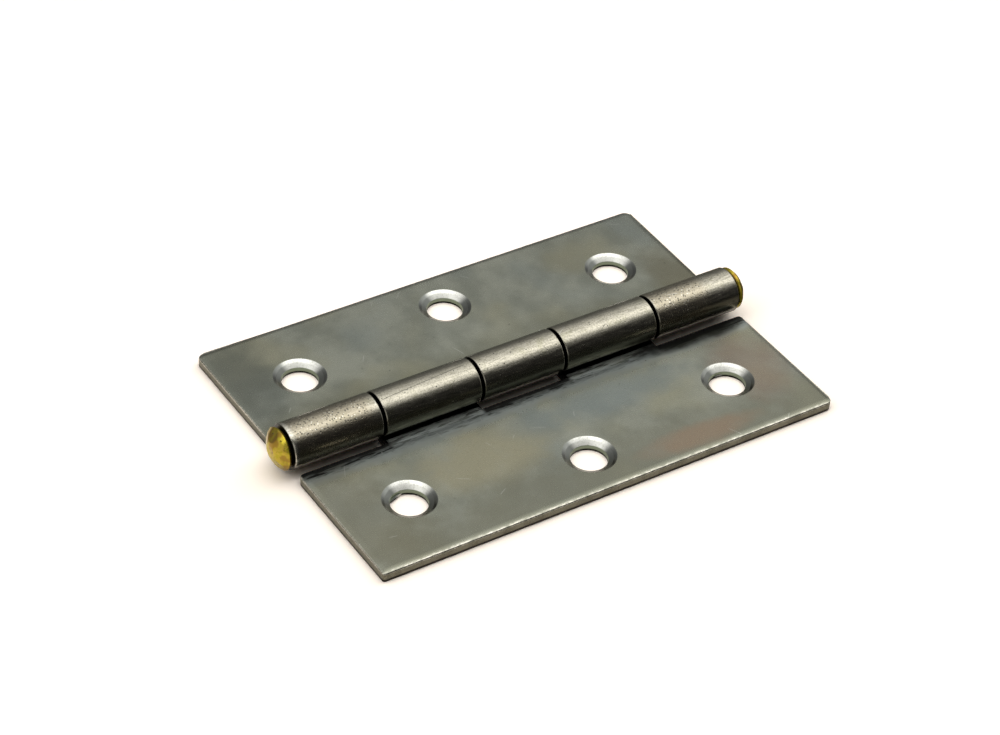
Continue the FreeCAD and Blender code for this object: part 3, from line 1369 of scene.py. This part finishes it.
    def hole_cutter(self, x: float, y: float) -> bpy.types.Object:
        """Makes the space of one hole, with its countersink, as a solid.

        Args:
            x: the hole's centre along the pin.
            y: its centre across the leaves.

        Returns:
            The solid to take away.
        """
        press = self.press
        beyond = self.cutter_reach
        slope = (press.countersink_radius - press.hole_radius) / press.countersink_depth
        bpy.ops.mesh.primitive_circle_add(vertices=self.hole_steps, radius=press.hole_radius,
                                          fill_type="NGON", location=(x, y, -beyond))
        cutter = bpy.context.object
        bpy.ops.object.transform_apply(location=True, rotation=True, scale=True)
        with edit_mode(cutter):
            bpy.ops.mesh.select_mode(type="FACE")
            bpy.ops.mesh.select_all(action="SELECT")
            extrude(Vector((0.0, 0.0, beyond + press.sheet - press.countersink_depth)))
            rise = press.countersink_depth + beyond
            extrude(Vector((0.0, 0.0, rise)))
            growth = (press.hole_radius + slope * rise) / press.hole_radius
            bpy.ops.transform.resize(value=(growth, growth, 1.0),
                                     center_override=(x, y, press.sheet + beyond))
            bpy.ops.mesh.select_all(action="SELECT")
            bpy.ops.mesh.normals_make_consistent(inside=False)
        return cutter

    def round_edges(self) -> None:
        """Rounds the sheared and rolled-over edges of the sheet."""
        mesh = bmesh.new()
        mesh.from_mesh(self.piece.data)
        weight = mesh.edges.layers.float.new("bevel_weight_edge")
        for edge in mesh.edges:
            if len(edge.link_faces) == 2 and edge.calc_face_angle() > math.radians(self.sharp_angle):
                edge[weight] = self.rounding_at(edge).value
        mesh.to_mesh(self.piece.data)
        mesh.free()
        apply_modifier(self.piece, "BEVEL", width=self.press.face_round, segments=self.round_steps,
                       limit_method="WEIGHT", use_clamp_overlap=False)

    def rounding_at(self, edge: bmesh.types.BMEdge) -> Rounding:
        """Chooses how far an edge of the thickened sheet is rounded.

        Args:
            edge: the edge.

        Returns:
            Its rounding.
        """
        press = self.press
        middle = (edge.verts[0].co + edge.verts[1].co) / 2
        for x, y in press.hole_places(self.side):
            if math.hypot(middle.x - x, middle.y - y) < press.countersink_radius + TINY:
                return Rounding.PUNCHED
        if not edge.is_convex:
            return Rounding.NONE
        on_plate = self.across(middle.y) > press.notch_edge - TINY
        if self.across(middle.y) > press.notch_edge + press.tongue_root / 2 and middle.z > press.sheet / 2:
            return Rounding.ARRIS
        if on_plate and middle.z > press.sheet / 2:
            return Rounding.ROLLED
        from_axis = math.hypot(middle.y, middle.z - press.axis_height)
        if not on_plate and from_axis > press.knuckle_radius - self.rim_depth:
            return Rounding.RIM
        return Rounding.SHEARED

    def tear_burrs(self) -> None:
        """Leaves slivers of torn metal in the holes, joined to the leaf."""
        for burr in self.burrs:
            x, y = self.press.hole_places(self.side)[burr.hole]
            middle = math.radians((burr.start + burr.end) / 2)
            half = math.radians((burr.end - burr.start) / 2)
            radius = self.press.hole_radius
            bpy.ops.mesh.primitive_cylinder_add(vertices=self.hole_steps, radius=radius + self.burr_root,
                                                depth=burr.high - burr.low,
                                                location=(x, y, (burr.low + burr.high) / 2))
            sliver = bpy.context.object
            bpy.ops.object.transform_apply(location=True, rotation=True, scale=True)
            way = Vector((math.cos(middle), math.sin(middle), 0.0))
            with edit_mode(sliver):
                bpy.ops.mesh.select_all(action="SELECT")
                bpy.ops.mesh.bisect(plane_co=Vector((x, y, 0.0)) + way * radius * math.cos(half),
                                    plane_no=way, clear_inner=True, use_fill=True)
            make_active(self.piece)
            sliver.select_set(True)
            bpy.ops.object.join()

    def dress(self) -> None:
        """Gives the leaf its finish and its body."""
        self.piece.data.materials.clear()
        self.piece.data.materials.append(self.finish.paint())
        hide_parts(self.node)
        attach(self.piece, self.body)


@dataclass
class Pin:
    """The brass pin with its two hammered heads.

    Each blow has the degrees between it and the tip, the degrees round the pin, and its depth.
    """

    name: str
    node: str
    body: str
    slot: str
    press: Press
    finish: BrassFinish
    radius: float = 1.62 * MM
    head_radius: float = 2.95 * MM
    head_seat: float = 2.35 * MM
    head_rim: float = 0.7 * MM
    head_dome: float = 1.35 * MM
    tip_radius: float = 0.12 * MM
    blows: tuple[tuple[float, float, float], ...] = (
        (0, 0, 0.10 * MM), (31, 20, 0.10 * MM), (34, 75, 0.13 * MM), (29, 128, 0.08 * MM),
        (33, 180, 0.12 * MM), (30, 232, 0.09 * MM), (35, 284, 0.12 * MM), (31, 335, 0.11 * MM))
    swell_steps: tuple[float, ...] = (0.3, 0.6, 0.85, 1.0)
    turn_steps: int = 72
    dome_steps: int = 18
    facing: float = 0.99
    facet_angle: float = 8.0
    piece: bpy.types.Object = field(init=False, default=None)

    @property
    def ball_radius(self) -> float:
        """Radius of the ball that a head's dome is part of."""
        return (self.head_dome ** 2 + self.head_radius ** 2) / (2 * self.head_dome)

    def build(self) -> bpy.types.Object:
        """Models the pin and hands it to its body.

        Returns:
            The finished piece.
        """
        self.turn_shank()
        for end in (-1, 1):
            self.upset_head(end)
            self.hammer(end)
        finish_mesh(self.piece, self.name, self.facet_angle)
        self.dress()
        return self.piece

    def turn_shank(self) -> None:
        """Makes the plain pin between the outer faces of the end knuckles."""
        bpy.ops.mesh.primitive_cylinder_add(vertices=self.turn_steps, radius=self.radius,
                                            depth=self.press.length, end_fill_type="NGON",
                                            location=(0.0, 0.0, self.press.axis_height),
                                            rotation=(0.0, math.pi / 2, 0.0))
        self.piece = bpy.context.object
        bpy.ops.object.transform_apply(location=True, rotation=True, scale=True)

    def profile(self) -> list[tuple[float, float]]:
        """Rings of a head, from the end knuckle to the tip.

        Returns:
            Distance out from the end knuckle and radius of each ring.
        """
        rings = [(0.0, self.head_seat)]
        swell = self.head_radius - self.head_seat
        for step in self.swell_steps:
            rings.append((step * self.head_rim, self.head_seat + swell * math.sin(step * math.pi / 2)))
        ball = self.ball_radius
        widest = math.asin(self.head_radius / ball)
        narrowest = math.asin(self.tip_radius / ball)
        for step in range(1, self.dome_steps + 1):
            angle = widest + (narrowest - widest) * step / self.dome_steps
            out = self.head_rim + self.head_dome - ball + ball * math.cos(angle)
            rings.append((out, ball * math.sin(angle)))
        return rings

    def upset_head(self, end: int) -> None:
        """Spreads one end of the pin into a domed head.

        Args:
            end: the end's side along X, 1 or -1.
        """
        face_x = end * self.press.length / 2
        out, radius = 0.0, self.radius
        with edit_mode(self.piece):
            pick(self.piece, "FACE", lambda middle, normal: normal.x * end > self.facing
                 and abs(middle.x - face_x) < TINY)
            for next_out, next_radius in self.profile():
                extrude(Vector((end * (next_out - out), 0.0, 0.0)))
                growth = next_radius / radius
                centre = (face_x + end * next_out, 0.0, self.press.axis_height)
                bpy.ops.transform.resize(value=(1.0, growth, growth), center_override=centre)
                out, radius = next_out, next_radius

    def hammer(self, end: int) -> None:
        """Leaves the flats of the hammer blows on one dome.

        Args:
            end: the end's side along X, 1 or -1.
        """
        press = self.press
        ball = self.ball_radius
        out = press.length / 2 + self.head_rim + self.head_dome - ball
        centre = Vector((end * out, 0.0, press.axis_height))
        for tilt, turn, depth in self.blows:
            lean, spin = math.radians(tilt), math.radians(turn)
            way = Vector((end * math.cos(lean), math.sin(lean) * math.cos(spin),
                          math.sin(lean) * math.sin(spin)))
            with edit_mode(self.piece):
                bpy.ops.mesh.select_all(action="SELECT")
                bpy.ops.mesh.bisect(plane_co=centre + way * (ball - depth), plane_no=way,
                                    threshold=TINY, clear_outer=True, use_fill=True)

    def dress(self) -> None:
        """Gives the pin its finish and its body."""
        self.piece.data.materials.clear()
        self.piece.data.materials.append(self.finish.paint())
        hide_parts(self.node)
        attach(self.piece, self.body)


@dataclass(frozen=True)
class Cloth:
    """A cloth on the floor beside the hinge, which only its reflections show."""

    name: str
    low: tuple[float, float]
    high: tuple[float, float]
    colour: Colour


@dataclass(frozen=True)
class Studio:
    """Floor, light tent and camera.

    The tent is a long half tube over the hinge. It glows most above the pin and fades towards
    the back, and its front is dark. Each of its stops is an angle in degrees about the pin, from
    the front of the floor up and over to the back, with the light that comes from there. Low in
    front it glows only through a window, whose left and right sides and top fade out between two
    places. Beside a dark door in the middle of its front, the metal sees it a plain grey.
    """

    azimuth: float = -0.618
    elevation: float = 0.678
    roll: float = 0.077
    target: Place = (0.8436 * MM, 4.2875 * MM, 0.0)
    distance: float = 392.8 * MM
    lens: float = 104.917
    sensor: float = 36.0
    floor_size: float = 3.0
    floor_drop: float = 0.02 * MM
    cloth_height: float = 0.1 * MM
    floor_colour: Colour = (0.80, 0.78, 0.76)
    floor_seen: Colour = (1.13, 1.04, 0.96)
    tent_radius: float = 0.6
    tent_length: float = 2.0
    tent_sides: int = 96
    tent_tint: Colour = (1.0, 0.985, 0.95)
    tent_stops: tuple[tuple[float, float], ...] = (
        (0, 0.02), (40, 0.03), (50, 0.16), (58, 0.50), (68, 1.50), (77, 2.60), (87, 2.90),
        (102, 1.98), (118, 1.50), (132, 1.05), (144, 0.60), (156, 0.36), (180, 0.20))
    window_left: Band = (-0.05, 0.10)
    window_right: Band = (0.75, 0.60)
    window_top: Band = (78, 64)
    door_left: Band = (-0.06, 0.08)
    door_right: Band = (0.60, 0.47)
    fill_top: Band = (62, 50)
    fill_light: float = 0.55
    unlit: Colour = (0.0, 0.0, 0.0)
    cloths: tuple[Cloth, ...] = (
        Cloth("dark_cloth", (-0.6, -0.6), (0.6, -0.027), (0.02, 0.02, 0.018)),
        Cloth("grey_cloth", (-0.6, 0.027), (0.6, 0.6), (0.15, 0.15, 0.13)),
        Cloth("side_cloth", (0.0365, -0.027), (0.6, 0.027), (0.15, 0.14, 0.12)))

    def build(self) -> None:
        """Makes everything round the hinge."""
        self.lay_floor()
        for cloth in self.cloths:
            self.lay_cloth(cloth)
        self.light_world()
        self.pitch_tent()
        self.set_camera()

    def lay_floor(self) -> None:
        """Lays a pale floor that the camera and the metal see a little brighter."""
        bpy.ops.mesh.primitive_plane_add(size=self.floor_size, location=(0.0, 0.0, -self.floor_drop))
        floor = bpy.context.object
        floor.name = "floor"
        nodes = self.new_surface(floor)
        colour = nodes.mix(self.seen_rays(nodes), self.floor_colour, self.floor_seen)
        shader = nodes.value("ShaderNodeBsdfDiffuse", {}, {"Color": colour})
        nodes.node("ShaderNodeOutputMaterial", {}, {"Surface": shader})

    @staticmethod
    def new_surface(piece: bpy.types.Object) -> Nodes:
        """Gives a piece of the studio an empty material of its own.

        Args:
            piece: the piece.

        Returns:
            The nodes of the material.
        """
        material = bpy.data.materials.new(piece.name + "_surface")
        material.use_nodes = True
        piece.data.materials.append(material)
        return Nodes(material.node_tree)

    @staticmethod
    def seen_rays(nodes: Nodes) -> Value:
        """Tells the rays that show a surface in the picture, itself or in metal.

        Args:
            nodes: the material's nodes.

        Returns:
            1 for such rays and 0 for the others.
        """
        paths = nodes.node("ShaderNodeLightPath")
        camera = Value(nodes, paths.outputs["Is Camera Ray"])
        glossy = Value(nodes, paths.outputs["Is Glossy Ray"])
        through = Value(nodes, paths.outputs["Is Transmission Ray"])
        return camera.most(glossy).most(through)

    def lay_cloth(self, cloth: Cloth) -> None:
        """Lays one cloth on the floor.

        Args:
            cloth: its place and colour.
        """
        middle = [(low + high) / 2 for low, high in zip(cloth.low, cloth.high)]
        bpy.ops.mesh.primitive_plane_add(size=1.0, location=(*middle, self.cloth_height))
        piece = bpy.context.object
        piece.name = cloth.name
        piece.scale = (cloth.high[0] - cloth.low[0], cloth.high[1] - cloth.low[1], 1.0)
        bpy.ops.object.transform_apply(location=True, rotation=True, scale=True)
        piece.visible_camera = False
        piece.visible_diffuse = False
        piece.visible_shadow = False
        piece.visible_transmission = False
        nodes = self.new_surface(piece)
        shader = nodes.value("ShaderNodeBsdfDiffuse", {}, {"Color": cloth.colour})
        nodes.node("ShaderNodeOutputMaterial", {}, {"Surface": shader})

    def light_world(self) -> None:
        """Sets a white world, which shows and doesn't light."""
        world = bpy.data.worlds.new("studio")
        bpy.context.scene.world = world
        world.use_nodes = True
        nodes = Nodes(world.node_tree)
        shader = nodes.value("ShaderNodeBackground", {}, {"Color": (1.0, 1.0, 1.0),
                                                          "Strength": self.seen_rays(nodes)})
        nodes.node("ShaderNodeOutputWorld", {}, {"Surface": shader})

    def pitch_tent(self) -> None:
        """Puts up the light tent as a half tube along the pin."""
        bpy.ops.mesh.primitive_cylinder_add(vertices=self.tent_sides, radius=self.tent_radius,
                                            depth=self.tent_length, rotation=(0.0, math.pi / 2, 0.0))
        tent = bpy.context.object
        tent.name = "light_tent"
        bpy.ops.object.transform_apply(location=True, rotation=True, scale=True)
        with edit_mode(tent):
            bpy.ops.mesh.select_all(action="SELECT")
            bpy.ops.mesh.bisect(plane_co=(0.0, 0.0, 0.0), plane_no=(0.0, 0.0, 1.0), clear_inner=True)
        tent.visible_camera = False
        nodes = self.new_surface(tent)
        x, y, z = nodes.parts_of(nodes.place())
        brightest = max(light for _, light in self.tent_stops)
        stops = [(angle / HALF_TURN, tuple(light / brightest * c for c in self.tent_tint))
                 for angle, light in self.tent_stops]
        turn = z.turn_to(y * -1.0) / math.pi
        glow = nodes.value("ShaderNodeValToRGB", {"stops": stops}, {0: turn})
        window = x.fade(*self.window_left) * x.fade(*self.window_right)
        low = turn.fade(*self.turns(self.window_top))
        glow = nodes.mix(low * (1 - window), glow, self.unlit)
        door = x.fade(*self.door_left) * x.fade(*self.door_right)
        front = turn.fade(*self.turns(self.fill_top)) * (1 - door)
        glow = nodes.mix(front * self.seen_rays(nodes), glow,
                         tuple(self.fill_light / brightest * c for c in self.tent_tint))
        shader = nodes.value("ShaderNodeEmission", {}, {"Color": glow, "Strength": brightest})
        nodes.node("ShaderNodeOutputMaterial", {}, {"Surface": shader})

    @staticmethod
    def turns(degrees: Band) -> Band:
        """Two angles about the pin as shares of half a turn."""
        return degrees[0] / HALF_TURN, degrees[1] / HALF_TURN

    def set_camera(self) -> None:
        """Puts the camera where the photograph was taken from."""
        level = math.cos(self.elevation)
        back = Vector((math.sin(self.azimuth) * level, -math.cos(self.azimuth) * level,
                       math.sin(self.elevation)))
        right = Vector((math.cos(self.azimuth), math.sin(self.azimuth), 0.0))
        up = back.cross(right)
        tilted_right = right * math.cos(self.roll) + up * math.sin(self.roll)
        tilted_up = up * math.cos(self.roll) - right * math.sin(self.roll)
        turn = Matrix((tilted_right, tilted_up, back)).transposed()
        data = bpy.data.cameras.new("camera")
        data.lens = self.lens
        data.sensor_width = self.sensor
        camera = bpy.data.objects.new("camera", data)
        bpy.context.scene.collection.objects.link(camera)
        place = Vector(self.target) + back * self.distance
        camera.matrix_world = Matrix.Translation(place) @ turn.to_4x4()
        bpy.context.scene.camera = camera


def back_stains() -> tuple[Stain, ...]:
    """Patches of colour on the back leaf.

    Returns:
        The stains, the undermost first.
    """
    return (
        Stain(-33 * MM, 18 * MM, 7 * MM, 12 * MM, (0.118, 0.128, 0.108), 0.8),
        Stain(22 * MM, 19 * MM, 5 * MM, 4 * MM, (0.235, 0.230, 0.165), 0.6),
        Stain(33 * MM, 8 * MM, 5 * MM, 9 * MM, (0.150, 0.142, 0.100), 0.7),
    )


def front_stains() -> tuple[Stain, ...]:
    """Patches of colour on the front leaf; the last two are painted shade on the flat below the last
    knuckle.

    Returns:
        The stains, the undermost first.
    """
    return (
        Stain(-12 * MM, -12 * MM, 11 * MM, 6 * MM, (0.270, 0.255, 0.175), 0.8),
        Stain(8 * MM, -9 * MM, 16 * MM, 4 * MM, (0.165, 0.195, 0.195), 0.7),
        Stain(0 * MM, -24 * MM, 48 * MM, 9 * MM, (0.158, 0.160, 0.124), 0.8),
        Stain(-32 * MM, -16 * MM, 8 * MM, 14 * MM, (0.165, 0.160, 0.115), 0.6),
        Stain(15 * MM, -21.5 * MM, 10 * MM, 2.4 * MM, (0.240, 0.180, 0.128), 0.75),
        Stain(30 * MM, -13 * MM, 6 * MM, 8 * MM, (0.220, 0.170, 0.132), 0.6),
        # Painted shade on the flat below the last knuckle
        Stain(27 * MM, -4.2 * MM, 11 * MM, 1.9 * MM, (0.034, 0.036, 0.030), 0.95),
        Stain(25 * MM, -3.6 * MM, 10 * MM, 1.1 * MM, (0.008, 0.008, 0.007), 1.0),
    )


def front_scratches() -> tuple[Scratch, ...]:
    """Long scratches on the front leaf's knuckles."""
    return (Scratch((-21.2 * MM, -0.95 * MM), (-7.6 * MM, 0.0), 0.075 * MM),)


def front_burrs() -> tuple[Burr, ...]:
    """Torn metal in the front leaf's first and last holes.

    Returns:
        The slivers.
    """
    return (
        Burr(0, 76.0, 142.0, 0.12 * MM, 0.40 * MM),
        Burr(2, 62.0, 108.0, 0.30 * MM, 0.42 * MM),
    )


def main() -> None:
    """Builds the hinge and its studio."""
    logging.basicConfig(level=logging.INFO, format="%(name)s: %(message)s")
    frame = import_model()
    bpy.context.scene.view_settings.view_transform = "Standard"
    press = Press.from_frame(frame)
    leaves = [
        Leaf("back_leaf_sheet", "three_knuckle_leaf", "back_leaf", "back_leaf_steel", Side.BACK,
             (0, 2, 4), press, SteelFinish("back_steel", press, Side.BACK, back_stains(),
                                           pitted=((-34 * MM, -24 * MM), (22 * MM, 29 * MM)))),
        Leaf("front_leaf_sheet", "two_knuckle_leaf", "front_leaf", "front_leaf_steel", Side.FRONT,
             (1, 3), press, SteelFinish("front_steel", press, Side.FRONT, front_stains(),
                                        front_scratches()),
             inner_corner_radius=0.6 * MM, outer_corners=(0.4 * MM, 1.0 * MM), burrs=front_burrs()),
    ]
    pin = Pin("hammered_pin", "hinge_pin", "back_leaf", "pin_brass", press, BrassFinish("brass", press))
    for part in (*leaves, pin):
        made = part.build()
        log.info("%s: %d faces", made.name, len(made.data.polygons))
    Studio().build()


if __name__ == "__main__":
    main()
